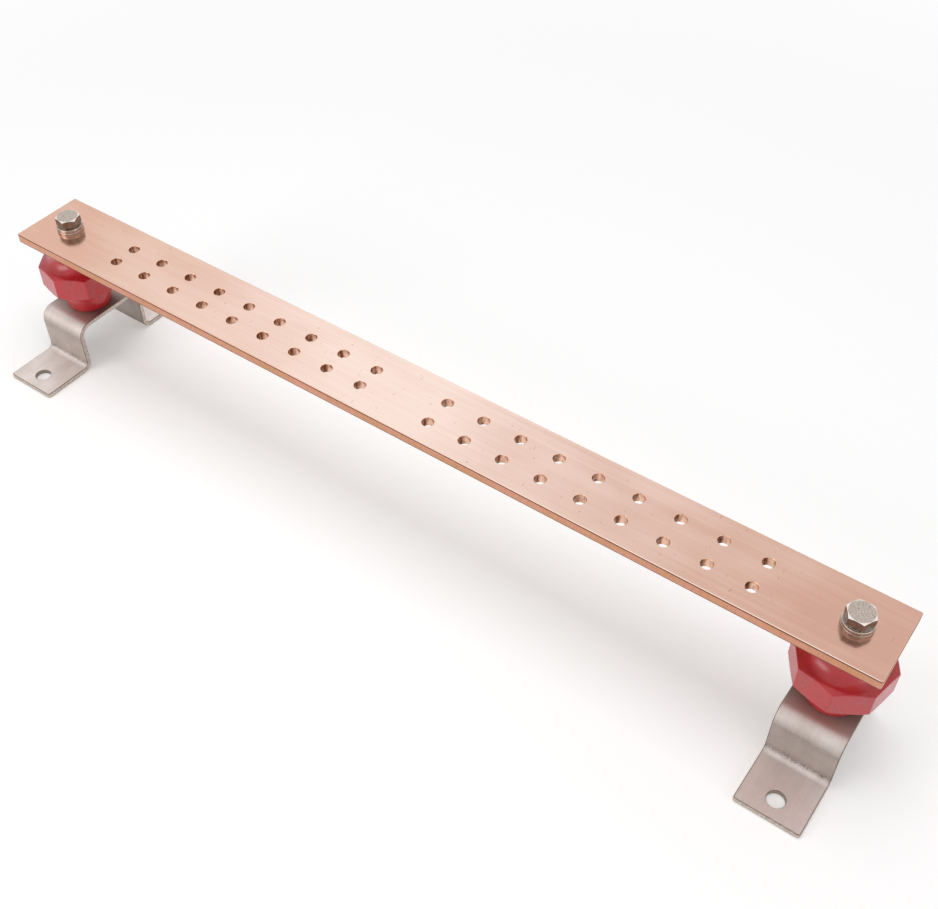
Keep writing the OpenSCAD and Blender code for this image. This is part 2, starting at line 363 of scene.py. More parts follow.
def drawn_copper():
    """Cold-drawn copper bar, brushed along its length, with a painted reflection falloff that
    darkens
    it towards its ends: a pale pink satin mirror with fine lengthwise lines and soft brownish
    clouds."""
    material, tree, place = new_material("drawn_copper")

    # Painted reflection falloff: none in the middle, growing evenly to the left end, where it is
    # warmer, and on the right starting with a faint step, a painted reflection edge, then growing
    # to the end.
    along = add(tree, "SeparateXYZ", (place,), output="X")
    leftward = add(tree, "MapRange", (along, -20 * MM, -290 * MM, 0.0, 1.0))
    reflection_step = add(tree, "MapRange", (along, 20 * MM, 70 * MM, 0.0, 0.38))
    rightward = add(tree, "MapRange", (along, 70 * MM, 290 * MM, 0.0, 0.62))
    to_right = add(tree, "MapRange", (along, -50 * MM, 50 * MM, 0.0, 1.0))

    # Clouds a few centimetres wide, bands 3 mm wide, brush lines, and short nicks across the bar.
    # Lines and nicks are really about 0.1 mm wide, drawn 0.45 and 0.8 mm wide so that they show.
    spread = add(tree, "Mapping", {"Vector": place, "Scale": per_metre(60, 25, 25)})
    clouds = add(tree, "TexNoise", {"Vector": spread, "Scale": 1.0, "Detail": 2.0})
    clouds = add(tree, "MapRange", (clouds, 0.35, 0.65, -0.1, 0.1))
    spread = add(tree, "Mapping", {"Vector": place, "Scale": per_metre(300, 3, 3)})
    bands = add(tree, "TexNoise", {"Vector": spread, "Scale": 1.0, "Detail": 2.0})
    bands = add(tree, "MapRange", (bands, 0.35, 0.65, -0.05, 0.05))
    spread = add(tree, "Mapping", {"Vector": place, "Scale": per_metre(160, 0.45, 0.45)})
    lines = add(tree, "TexNoise", {"Vector": spread, "Scale": 1.0, "Detail": 3.0})
    lines = add(tree, "MapRange", (lines, 0.35, 0.65, 0.0, 1.0))
    spread = add(tree, "Mapping", {"Vector": place, "Scale": per_metre(0.8, 5, 5)})
    nicks = add(tree, "TexNoise", {"Vector": spread, "Scale": 1.0, "Detail": 2.0})
    nicks = add(tree, "MapRange", (nicks, 0.72, 0.76, 0.0, 0.55))

    # Painted reflection falloff along the bar, with random clouds and bands of tone added to it.
    falloff_and_tone = leftward
    for part in (reflection_step, rightward, clouds):
        falloff_and_tone = add(tree, "Math", (falloff_and_tone, part), operation="ADD")
    falloff_and_tone = add(tree, "Math", (falloff_and_tone, bands), operation="ADD", use_clamp=True)
    # The darker copper that the painted falloff and the darker tone lead to, warmer at the left
    # end.
    dimmed_colour = add(tree, "Mix", {FACTOR: to_right, A: srgb("#D6AC99"), B: srgb("#C9A08F")}, **COLOURS)
    body = add(tree, "Mix", {FACTOR: falloff_and_tone, A: srgb("#F2DBCF"), B: dimmed_colour}, **COLOURS)
    faint = add(tree, "Math", (lines, 0.09), operation="MULTIPLY")
    for share, colour in ((faint, "#A87463"), (nicks, "#8A5746")):
        body = add(tree, "Mix", {FACTOR: share, A: body, B: srgb(colour)}, **COLOURS)
    gloss = add(tree, "MapRange", (lines, 0.0, 1.0, 0.13, 0.19))
    relief = add(tree, "Bump", {"Height": lines, "Distance": 0.0006 * MM})
    shader = add(tree, "BsdfPrincipled", {
        "Base Color": body, "Metallic": 1.0, "Roughness": gloss, "Normal": relief})
    add(tree, "OutputMaterial", (shader,))
    return material


def sheared_copper():
    """The bar's sheared and filed sides: deeper orange, dull, with short upright marks, a painted
    highlight along the rim over the long sides' right half, a painted shade line under it and
    painted shade along the lower corner."""
    material, tree, place = new_material("sheared_copper_edge")
    height = add(tree, "SeparateXYZ", (place,), output="Z")
    along = add(tree, "SeparateXYZ", (place,), output="X")
    low, high = box_mm("busbar")
    top, thick = high[2] * MM, (high[2] - low[2]) * MM

    # From the top down: the rim with its painted highlight, a painted shade line, plain metal, and
    # painted shade along the lower corner.
    depth = add(tree, "Math", (top, height), operation="SUBTRACT")
    rim = add(tree, "MapRange", (depth, 0.1 * MM, 0.2 * MM, 1.0, 0.0))
    # The rim's painted highlight is whiter over the right half and stops just short of the right
    # end.
    highlit_half = add(tree, "MapRange", (along, -100 * MM, 100 * MM, 0.0, 1.0))
    not_end = add(tree, "MapRange", (along, high[0] * MM - 2 * MM, high[0] * MM - MM, 1.0, 0.0))
    highlit_half = add(tree, "Math", (highlit_half, not_end), operation="MULTIPLY")
    begun = add(tree, "MapRange", (depth, 0.16 * MM, 0.26 * MM, 0.0, 1.0))
    faded = add(tree, "MapRange", (depth, 0.7 * MM, 0.95 * MM, 1.0, 0.0))
    shade_line = add(tree, "Math", (begun, faded), operation="MULTIPLY")
    lower = add(tree, "MapRange", (depth, thick - 1.1 * MM, thick - 0.7 * MM, 0.0, 0.8))
    shade_line = add(tree, "Math", (shade_line, lower), operation="MAXIMUM")

    # File marks, really about 0.3 mm apart, are drawn 0.7 mm apart so that they show.
    spread = add(tree, "Mapping", {"Vector": place, "Scale": per_metre(0.7, 0.7, 9)})
    marks = add(tree, "TexNoise", {"Vector": spread, "Scale": 1.0, "Detail": 3.0})
    scored = add(tree, "MapRange", (marks, 0.5, 0.75, 0.0, 0.3))
    spread = add(tree, "Mapping", {"Vector": place, "Scale": per_metre(22, 22, 5)})
    clouds = add(tree, "TexNoise", {"Vector": spread, "Scale": 1.0, "Detail": 3.0})
    clouds = add(tree, "MapRange", (clouds, 0.4, 0.6, 0.0, 1.0))

    body = add(tree, "Mix", {FACTOR: clouds, A: srgb("#D39A82"), B: srgb("#CB9571")}, **COLOURS)
    # Scored marks, then the painted shade line and the painted shade of the lower corner, are mixed
    # in.
    for share, colour in ((scored, "#A0664A"), (shade_line, "#5A3A2E")):
        body = add(tree, "Mix", {FACTOR: share, A: body, B: srgb(colour)}, **COLOURS)
    highlight_colour = add(tree, "Mix", {FACTOR: highlit_half, A: srgb("#DDB5A3"), B: srgb("#F5E3D8")}, **COLOURS)
    body = add(tree, "Mix", {FACTOR: rim, A: body, B: highlight_colour}, **COLOURS)
    relief = add(tree, "Bump", {"Height": marks, "Distance": 0.03 * MM})
    shader = add(tree, "BsdfPrincipled", {
        "Base Color": body, "Metallic": 1.0, "Roughness": 0.42, "Normal": relief})
    add(tree, "OutputMaterial", (shader,))
    return material


def drilled_copper():
    """The walls of the drilled holes: bright bare copper with rings from the drill's lips, uneven
    brown patches, and painted shade in brown on the walls that face right."""
    material, tree, place = new_material("drilled_copper_bore")
    # The drill's feed is about 0.2 mm a turn. Its rings are drawn 0.35 mm apart so that they show.
    spread = add(tree, "Mapping", {"Vector": place, "Scale": per_metre(30, 30, 0.35)})
    rings = add(tree, "TexNoise", {"Vector": spread, "Scale": 1.0, "Detail": 2.0})
    spread = add(tree, "Mapping", {"Vector": place, "Scale": per_metre(1.6, 1.6, 6)})
    tone_and_shade = add(tree, "TexNoise", {"Vector": spread, "Scale": 1.0, "Detail": 3.0})
    tone_and_shade = add(tree, "MapRange", (tone_and_shade, 0.42, 0.62, -0.25, 0.25))
    # Painted shade: walls that face right are drawn darker brown, added to the uneven patches.
    normal = add(tree, "NewGeometry", output="True Normal")
    rightward = add(tree, "SeparateXYZ", (normal,), output="X")
    shaded_side = add(tree, "MapRange", (rightward, 0.35, 0.85, 0.1, 0.9))
    tone_and_shade = add(tree, "Math", (tone_and_shade, shaded_side), operation="ADD", use_clamp=True)
    body = add(tree, "Mix", {FACTOR: tone_and_shade, A: srgb("#F0C4AB"), B: srgb("#74452C")}, **COLOURS)
    relief = add(tree, "Bump", {"Height": rings, "Distance": 0.02 * MM})
    shader = add(tree, "BsdfPrincipled", {
        "Base Color": body, "Metallic": 1.0, "Roughness": 0.34, "Normal": relief})
    add(tree, "OutputMaterial", (shader,))
    return material


def red_polyester():
    """Compression-moulded glass-filled polyester, red all through: glossy, with faint flow marks,
    a fine fibre grain, a few scratches, and a pale uneven painted sheen on the upright flats."""
    material, tree, place = new_material("moulded_red_polyester")
    # Flow marks about a centimetre wide, bundles of fibre and short scratches. A bundle is about
    # 0.3 mm wide and a scratch 0.1 mm, and they are drawn 0.9 and 0.5 mm wide so that they show.
    spread = add(tree, "Mapping", {"Vector": place, "Scale": per_metre(9, 9, 14)})
    flow = add(tree, "TexNoise", {"Vector": spread, "Scale": 1.0, "Detail": 4.0})
    swirl = add(tree, "MapRange", (flow, 0.3, 0.7, 0.0, 1.0))
    gloss = add(tree, "MapRange", (flow, 0.3, 0.7, 0.2, 0.32))
    spread = add(tree, "Mapping", {"Vector": place, "Scale": per_metre(0.9, 0.9, 0.9)})
    fibre = add(tree, "TexNoise", {"Vector": spread, "Scale": 1.0, "Detail": 2.0})
    spread = add(tree, "Mapping", {
        "Vector": place, "Scale": per_metre(0.5, 0.5, 4), "Rotation": (0.6, 0.4, 0.0)})
    scuffs = add(tree, "TexNoise", {"Vector": spread, "Scale": 1.0, "Detail": 2.0})
    scuffs = add(tree, "MapRange", (scuffs, 0.72, 0.76, 0.0, 0.5))
    # Painted sheen: upright faces get a pale pink, uneven with the flow marks.
    normal = add(tree, "NewGeometry", output="Normal")
    upward = add(tree, "SeparateXYZ", (normal,), output="Z")
    upward = add(tree, "Math", (upward,), operation="ABSOLUTE")
    upright = add(tree, "MapRange", (upward, 0.02, 0.12, 1.0, 0.0))
    sheen_strength = add(tree, "MapRange", (flow, 0.42, 0.6, 0.02, 0.1))
    painted_sheen = add(tree, "Math", (upright, sheen_strength), operation="MULTIPLY")
    body = add(tree, "Mix", {FACTOR: swirl, A: srgb("#CA2A32"), B: srgb("#B42128")}, **COLOURS)
    for share, colour in ((painted_sheen, "#C08E90"), (scuffs, "#DE8C8C")):
        body = add(tree, "Mix", {FACTOR: share, A: body, B: srgb(colour)}, **COLOURS)
    relief = add(tree, "Bump", {"Height": fibre, "Distance": 0.008 * MM})
    relief = add(tree, "Bump", {"Height": flow, "Distance": 0.03 * MM, "Normal": relief})
    shader = add(tree, "BsdfPrincipled", {
        "Base Color": body, "Metallic": 0.0, "Roughness": gloss, "IOR": 1.54,
        "Coat Weight": 0.15, "Coat Roughness": 0.2, "Normal": relief})
    add(tree, "OutputMaterial", (shader,))
    return material


def rolled_strip():
    """Cold-rolled stainless strip with a dull mill finish: warm grey, fine mottled grain, faint
    rolling lines along the strip, painted shade on the legs, a painted shadow on the plate under
    the insulator, and darker bands next to the bends."""
    material, tree, place = new_material("rolled_stainless_strip")
    # The mill's grain and rolling lines are 0.05 to 0.1 mm wide, drawn 0.5 mm wide so that they
    # show. The clouds are 1 to 2 cm wide and the patches that break up the darker bend bands about
    # 1 mm.
    spread = add(tree, "Mapping", {"Vector": place, "Scale": per_metre(0.5, 0.5, 0.5)})
    grain = add(tree, "TexNoise", {"Vector": spread, "Scale": 1.0, "Detail": 4.0})
    spread = add(tree, "Mapping", {"Vector": place, "Scale": per_metre(11, 16, 12)})
    cloud = add(tree, "TexNoise", {"Vector": spread, "Scale": 1.0, "Detail": 4.0})
    spread = add(tree, "Mapping", {"Vector": place, "Scale": per_metre(0.5, 60, 60)})
    lines = add(tree, "TexNoise", {"Vector": spread, "Scale": 1.0, "Detail": 3.0})
    spread = add(tree, "Mapping", {"Vector": place, "Scale": per_metre(1.4, 0.7, 0.7)})
    patches = add(tree, "TexNoise", {
        "Vector": spread, "Scale": 1.0, "Detail": 5.0, "Roughness": 0.75})
    patches = add(tree, "MapRange", (patches, 0.44, 0.58, 0.0, 0.75))
    # Darker bands next to the bends, broken up by the patches.
    bend_dark = add(tree, "Attribute", output="Fac", attribute_name="bend_darkening")
    bend_dark = add(tree, "Math", (bend_dark, patches), operation="MULTIPLY")
    # Painted shade on the legs and a painted shadow on the plate under the insulator.
    shade_amount = add(tree, "Attribute", output="Fac", attribute_name="painted_shade")
    clouded = add(tree, "MapRange", (cloud, 0.3, 0.7, 0.0, 1.0))
    lined = add(tree, "MapRange", (lines, 0.4, 0.7, 0.0, 0.25))
    body = add(tree, "Mix", {FACTOR: clouded, A: srgb("#E8DED9"), B: srgb("#D8CEC8")}, **COLOURS)
    for share, colour in ((lined, "#B8ADA6"), (shade_amount, "#6A5B50"), (bend_dark, "#564B45")):
        body = add(tree, "Mix", {FACTOR: share, A: body, B: srgb(colour)}, **COLOURS)
    gloss = add(tree, "MapRange", (cloud, 0.3, 0.7, 0.50, 0.60))
    gloss = add(tree, "Math", (shade_amount, 0.1, gloss), operation="MULTIPLY_ADD")
    relief = add(tree, "Bump", {"Height": grain, "Distance": 0.004 * MM})
    relief = add(tree, "Bump", {"Height": lines, "Distance": 0.003 * MM, "Normal": relief})
    shader = add(tree, "BsdfPrincipled", {
        "Base Color": body, "Metallic": 1.0, "Roughness": gloss, "Normal": relief})
    add(tree, "OutputMaterial", (shader,))
    return material


def slit_strip():
    """The strip's slit edges: browner and duller than its faces, with a sheared grain and dark
    rounded rims."""
    material, tree, place = new_material("slit_stainless_edge")
    # The torn grain of a slit edge is about 0.3 mm, drawn 1.2 mm so that it shows.
    spread = add(tree, "Mapping", {"Vector": place, "Scale": per_metre(1.2, 1.2, 1.2)})
    grain = add(tree, "TexNoise", {"Vector": spread, "Scale": 1.0, "Detail": 4.0})
    torn = add(tree, "MapRange", (grain, 0.35, 0.65, 0.0, 1.0))
    rim = add(tree, "Attribute", output="Fac", attribute_name="from_middle")
    rim = add(tree, "MapRange", (rim, 0.7, 0.85, 0.0, 0.75))
    body = add(tree, "Mix", {FACTOR: torn, A: srgb("#D2C4BA"), B: srgb("#AD9D92")}, **COLOURS)
    body = add(tree, "Mix", {FACTOR: rim, A: body, B: srgb("#6A5B50")}, **COLOURS)
    relief = add(tree, "Bump", {"Height": grain, "Distance": 0.015 * MM})
    shader = add(tree, "BsdfPrincipled", {
        "Base Color": body, "Metallic": 1.0, "Roughness": 0.45, "Normal": relief})
    add(tree, "OutputMaterial", (shader,))
    return material


def headed_steel():
    """Cold-headed stainless bolts: satin grey flanks, drawn darker partly as painted shade, the
    punch's coarse grain on the end of the head, and a painted highlight on the chamfer between
    them. How level the surface lies tells them apart."""
    material, tree, place = new_material("cold_headed_stainless")
    # The punch leaves a grain of about 0.3 mm, drawn 0.5 mm so that it shows.
    spread = add(tree, "Mapping", {"Vector": place, "Scale": per_metre(0.5, 0.5, 0.5)})
    grain = add(tree, "TexNoise", {"Vector": spread, "Scale": 1.0, "Detail": 4.0})
    spread = add(tree, "Mapping", {"Vector": place, "Scale": per_metre(2.5, 2.5, 2.5)})
    cloud = add(tree, "TexNoise", {"Vector": spread, "Scale": 1.0, "Detail": 3.0})
    normal = add(tree, "NewGeometry", output="Normal")
    upward = add(tree, "SeparateXYZ", (normal,), output="Z")
    upward = add(tree, "Math", (upward,), operation="ABSOLUTE")
    flat_end = add(tree, "MapRange", (upward, 0.2, 0.7, 0.0, 1.0))
    clouded = add(tree, "MapRange", (cloud, 0.3, 0.7, 0.0, 1.0))
    pitted = add(tree, "MapRange", (grain, 0.42, 0.62, 0.0, 1.0))
    gloss = add(tree, "MapRange", (grain, 0.3, 0.7, 0.20, 0.36))
    # Painted highlight: surfaces tilted between level and upright, the chamfer, get a near-white
    # colour.
    tilted = add(tree, "MapRange", (upward, 0.6, 0.8, 0.0, 1.0))
    levelled = add(tree, "MapRange", (upward, 0.92, 0.97, 1.0, 0.0))
    chamfer_highlight = add(tree, "Math", (tilted, levelled), operation="MULTIPLY")
    # The flanks are darker than the end partly as painted shade.
    flank_and_shade = add(tree, "Mix", {FACTOR: clouded, A: srgb("#9C8E84"), B: srgb("#7F7065")}, **COLOURS)
    punched = add(tree, "Mix", {FACTOR: pitted, A: srgb("#C4B9B0"), B: srgb("#978A80")}, **COLOURS)
    body = add(tree, "Mix", {FACTOR: flat_end, A: flank_and_shade, B: punched}, **COLOURS)
    body = add(tree, "Mix", {FACTOR: chamfer_highlight, A: body, B: srgb("#EFE8E1")}, **COLOURS)
    relief = add(tree, "Bump", {"Height": grain, "Distance": 0.03 * MM})
    shader = add(tree, "BsdfPrincipled", {
        "Base Color": body, "Metallic": 1.0, "Roughness": gloss, "Normal": relief})
    add(tree, "OutputMaterial", (shader,))
    return material


def coiled_steel():
    """Stainless washers, coiled from wire or punched from sheet and tumbled: smoother than the
    heads, grey, with faint brownish clouds."""
    material, tree, place = new_material("tumbled_stainless_washer")
    # Tumbling marks are about 0.2 mm long, drawn 0.3 to 0.7 mm so that they show.
    spread = add(tree, "Mapping", {"Vector": place, "Scale": per_metre(0.7, 0.7, 0.3)})
    grain = add(tree, "TexNoise", {"Vector": spread, "Scale": 1.0, "Detail": 3.0})
    spread = add(tree, "Mapping", {"Vector": place, "Scale": per_metre(3, 3, 3)})
    cloud = add(tree, "TexNoise", {"Vector": spread, "Scale": 1.0, "Detail": 2.0})
    clouded = add(tree, "MapRange", (cloud, 0.35, 0.65, 0.0, 1.0))
    body = add(tree, "Mix", {FACTOR: clouded, A: srgb("#C6BDB6"), B: srgb("#A99D95")}, **COLOURS)
    gloss = add(tree, "MapRange", (grain, 0.3, 0.7, 0.2, 0.34))
    relief = add(tree, "Bump", {"Height": grain, "Distance": 0.003 * MM})
    shader = add(tree, "BsdfPrincipled", {
        "Base Color": body, "Metallic": 1.0, "Roughness": gloss, "Normal": relief})
    add(tree, "OutputMaterial", (shader,))
    return material


def turned_brass():
    """Turned brass of the threaded inserts: yellow, with fine rings from the lathe and a slight
    brown bloom."""
    material, tree, place = new_material("turned_brass")
    # The lathe's feed is about 0.1 mm a turn. Its rings are drawn 0.3 mm apart so that they show.
    spread = add(tree, "Mapping", {"Vector": place, "Scale": per_metre(20, 20, 0.3)})
    rings = add(tree, "TexNoise", {"Vector": spread, "Scale": 1.0, "Detail": 2.0})
    spread = add(tree, "Mapping", {"Vector": place, "Scale": per_metre(4, 4, 4)})
    bloom = add(tree, "TexNoise", {"Vector": spread, "Scale": 1.0, "Detail": 3.0})
    bloom = add(tree, "MapRange", (bloom, 0.4, 0.7, 0.0, 0.6))
    body = add(tree, "Mix", {FACTOR: bloom, A: srgb("#D9B566"), B: srgb("#B58E48")}, **COLOURS)
    relief = add(tree, "Bump", {"Height": rings, "Distance": 0.01 * MM})
    shader = add(tree, "BsdfPrincipled", {
        "Base Color": body, "Metallic": 1.0, "Roughness": 0.3, "Normal": relief})
    add(tree, "OutputMaterial", (shader,))
    return material


# ---- The bar ----

# Half widths of the grid's square blocks around the lug holes and the bolt holes, and how many
# steps a block has along each side.
LUG_SQUARE, LUG_STEPS = 6.5, 12
BOLT_SQUARE, BOLT_STEPS = 10.0, 25


def corner_steps(edge, radius, count=4):
    """Grid lines over the last stretch before an edge, where a corner is rounded."""
    return np.linspace(edge - radius, edge, count + 1)


def place_of(values, value):
    """Number of the grid line that lies at a value."""
    return int(np.argmin(np.abs(values - value)))


def copper_bar(face, edge, bore):
    """The drilled bar: a flat slab with every edge rounded. Its grid has a square block of lines
    around each lug hole and each bolt hole, spaced by the tangent of even angles so that they meet
    the hole's circle evenly, and the rows slide from one hole group's spacing to the next by
    linear interpolation along the bar."""
    low, high = box_mm("busbar")
    half = (high - low) / 2
    edge_r, corner_r, mouth_r, bolt_hole_r = 0.6, 1.2, 0.35, 5.15
    half_x, half_y = half[0] - edge_r, half[1] - edge_r
    round_r = corner_r - edge_r
    groups = {}
    for name in SIDES:
        mounts = [m for m in MOUNTS.values() if m["name"].startswith(f"lug_holes_{name}_")]
        xs = sorted(m["pos_m"][0] / MM for m in mounts)
        dims = mounts[0]["dims"]
        groups[name] = (np.array(xs), dims["spacing_y_mm"] / 2, dims["hole_r_mm"])
    bolt_x = {name: centre_mm(f"top_bolt_{name}")[0] for name in SIDES}

    lug = square_steps(LUG_SQUARE, LUG_STEPS)
    bolt = square_steps(BOLT_SQUARE, BOLT_STEPS)
    between_groups = np.linspace(-12, 12, 5)
    side_rows, end_columns = corner_steps(half_y, round_r), corner_steps(half_x, round_r)

    def row_set(inner):
        return np.concatenate([-side_rows[::-1], inner, side_rows])

    rows = {name: row_set(np.concatenate([lug - groups[name][1], lug + groups[name][1]]))
            for name in SIDES}
    rows["bolt"] = row_set(bolt)
    columns = np.concatenate([
        -end_columns[::-1], bolt + bolt_x["left"], *[lug + x for x in groups["left"][0]],
        between_groups, *[lug + x for x in groups["right"][0]], bolt + bolt_x["right"],
        end_columns])
    knots = np.array([-half_x, bolt_x["left"] + BOLT_SQUARE, groups["left"][0][0] - LUG_SQUARE,
                      groups["left"][0][-1] + LUG_SQUARE, groups["right"][0][0] - LUG_SQUARE,
                      groups["right"][0][-1] + LUG_SQUARE, bolt_x["right"] - BOLT_SQUARE, half_x])
    sets = np.stack([rows[k] for k in
                     ("bolt", "bolt", "left", "left", "right", "right", "bolt", "bolt")])
    grid = np.stack([np.interp(columns, knots, sets[:, j]) for j in range(sets.shape[1])], axis=1)

    holes = []
    first_row = len(side_rows)
    for name in SIDES:
        xs, offset, radius = groups[name]
        for x in xs:
            i0 = place_of(columns, x - LUG_SQUARE)
            for number, y in enumerate((-offset, offset)):
                j0 = first_row + number * (LUG_STEPS + 1)
                holes.append((i0, i0 + LUG_STEPS, j0, j0 + LUG_STEPS, x, y, radius))
        i0 = place_of(columns, bolt_x[name] - BOLT_SQUARE)
        holes.append((i0, i0 + BOLT_STEPS, first_row, first_row + BOLT_STEPS,
                      bolt_x[name], 0.0, bolt_hole_r))
    points, faces, kinds = slab(columns, grid, holes, half[2], corner_r, edge_r, mouth_r)
    return make_piece("copper_bar", points + centre_mm("busbar"), [faces], [face, edge, bore],
                      replaces=["busbar"], face_material=kinds)


# ---- Standoff insulators ----

def standoff(side, material):
    """An insulator: a profile of radius and height carried around its axis. From the end face it
    goes over a rounded rim, down a quarter-circle cove, out along a sloped shoulder and over a
    rounded edge to the octagonal band, whose radius at an angle is the octagon's, and the lower
    half mirrors the upper. Each end dips into the blind bore that holds its brass insert."""
    node = f"insulator_{side}"
    low, high = box_mm(node)
    x, y, z = (low + high) / 2
    half_h = (high[2] - low[2]) / 2
    apothem, band_half, first_corner = 25.4, 8.75, math.radians(9.6)
    cove_start, cove_lift = 24.4, math.radians(12)
    shoulder_slope = math.tan(math.radians(26))
    end_r, end_edge, band_edge, corner_r = 15.0, 0.6, 0.7, 0.9
    root_r = 16.4
    insert_low, insert_high = box_mm(f"top_insert_{side}")
    insert_r = (insert_high[0] - insert_low[0]) / 2
    insert_depth = insert_high[2] - insert_low[2]
    quarter = list(zip(*quarter_round(4)))[1:]
    angles = polygon_angles(apothem, corner_r, 8, first_corner, corner_steps=6, flat_steps=8)

    cove_r = (cove_start - root_r) / (1 - math.sin(cove_lift))
    cove_z = band_half + cove_r * math.cos(cove_lift)
    swing = np.linspace(math.pi, 1.5 * math.pi - cove_lift, 16)
    cove = [(root_r + cove_r + cove_r * np.cos(a), cove_z + cove_r * np.sin(a)) for a in swing]

    def octagon(inset):
        return polygon_radius(angles, apothem - inset, max(corner_r - inset, 0.05), 8, first_corner)

    def shoulder(inset):
        return band_half - (octagon(inset) - cove_start) * shoulder_slope

    rows = [(insert_r, half_h - insert_depth), (insert_r, half_h),
            (end_r - end_edge, half_h)]
    rows += [(end_r - end_edge + end_edge * o, half_h - end_edge * d) for o, d in quarter]
    rows += cove
    rows += [(octagon(band_edge), shoulder(band_edge))]
    rows += [(octagon(band_edge - band_edge * o), shoulder(band_edge) - band_edge * d)
             for o, d in quarter]
    lower = [(r, -h) for r, h in rows]
    rows = lower + rows[::-1]
    points, faces = turned([r for r, _ in rows], [h for _, h in rows], angles, (x, y, z))
    return make_piece(f"standoff_{side}", points, faces, [material],
                      replaces=[node])


# ---- Brackets ----

STRIP_THICK, LEG_SPAN = 3.175, 57.15
TOP_BEND_R, FOOT_BEND_R = 6.4, 4.0


def bend_places(rise):
    """Radii of the strip's middle line in its top and foot bends, how far out the leg stands, and
    how far along the line from its centre the plate, top bend, leg and foot bend end."""
    top_r, foot_r = TOP_BEND_R + STRIP_THICK / 2, FOOT_BEND_R + STRIP_THICK / 2
    leg_y = (LEG_SPAN - STRIP_THICK) / 2
    ends = np.cumsum([leg_y - top_r, top_r * math.pi / 2,
                      rise - STRIP_THICK - top_r - foot_r, foot_r * math.pi / 2])
    return top_r, foot_r, leg_y, ends


def fold(along, rise):
    """Where the middle line of the folded strip lies at a distance from its centre, and its upward
    normal. The line is the plate, a quarter circle down, the leg, a quarter circle out and the
    foot. Returns y, z and the normal's y and z."""
    top_r, foot_r, leg_y, ends = bend_places(rise)
    s = np.abs(along)
    part = np.searchsorted(ends, s)
    first, second = (s - ends[0]) / top_r, (s - ends[2]) / foot_r
    level, upright = np.zeros(len(s)), np.ones(len(s))
    plate_z, foot_z = rise - STRIP_THICK / 2, STRIP_THICK / 2
    y = np.choose(part, [s, ends[0] + top_r * np.sin(first), leg_y * upright,
                         leg_y + foot_r * (1 - np.cos(second)), leg_y + foot_r + s - ends[3]])
    z = np.choose(part, [plate_z * upright, plate_z - top_r * (1 - np.cos(first)),
                         plate_z - top_r - (s - ends[1]),
                         foot_z + foot_r * (1 - np.sin(second)), foot_z * upright])
    normal_y = np.choose(part, [level, np.sin(first), upright, np.cos(second), level])
    normal_z = np.choose(part, [upright, np.cos(first), level, np.sin(second), upright])
    return np.sign(along) * y, z, np.sign(along) * normal_y, normal_z


def strip_bracket(side, rolled, slit):
    """A hat bracket: a flat slab with its three holes, laid along the middle line of the folded
    strip. A point at a distance along, across and up from the flat slab's middle goes to the
    line's place at that distance, plus its height times the line's normal."""
    node = f"bracket_{side}"
    low, high = box_mm(node)
    width, foot_span, rise = high - low
    corner_r, edge_r, mouth_r = 1.5, 0.55, 0.3
    hole_y = MOUNTS["foot_holes"]["dims"]["spacing_y_mm"] / 2
    hole_r = MOUNTS["foot_holes"]["dims"]["hole_r_mm"]
    square, steps = 8.0, 16
    bend_steps, past_bend, beside_edge = (14, 6, 12), 1.5, 3.0

    # climb: how much further the foot is along the strip than it is out in y.
    _, foot_r, leg_y, ends = bend_places(rise)
    climb = ends[3] - leg_y - foot_r
    reach = foot_span / 2 + climb - edge_r
    hole_s = hole_y + climb
    hole = square_steps(square, steps)
    bends = [np.linspace(start, end, count + 1)[1:]
             for start, end, count in zip(ends, ends[1:], bend_steps)]
    half = np.concatenate([ends[:1], *bends, [ends[3] + past_bend], hole + hole_s,
                           corner_steps(reach, corner_r - edge_r)])
    columns = np.concatenate([-half[::-1], hole, half])
    half_width = width / 2 - edge_r
    edge = corner_steps(half_width, corner_r - edge_r)
    inner = half_width - beside_edge
    row = np.concatenate([-edge[::-1], [-inner], hole, [inner], edge])
    grid = np.repeat(row[None], len(columns), axis=0)
    first_row = place_of(row, -square)
    holes = []
    for s, radius in ((-hole_s, hole_r), (0.0, hole_r), (hole_s, hole_r)):
        i0 = place_of(columns, s - square)
        holes.append((i0, i0 + steps, first_row, first_row + steps, s, 0.0, radius))
    points, faces, kinds = slab(columns, grid, holes, STRIP_THICK / 2, corner_r, edge_r, mouth_r)
    along, across, height = points.T
    y, z, normal_y, normal_z = fold(along, rise)
    folded = np.stack([across, y + height * normal_y, z + height * normal_z], axis=-1)
    folded += [centre_mm(node)[0], 0, 0]
    piece = make_piece(f"strip_bracket_{side}", folded, [faces], [rolled, slit],
                       replaces=[node], face_material=np.minimum(kinds, EDGE))
    mark_bends(piece, along, normal_y, ends, np.abs(height) / (STRIP_THICK / 2))
    return piece


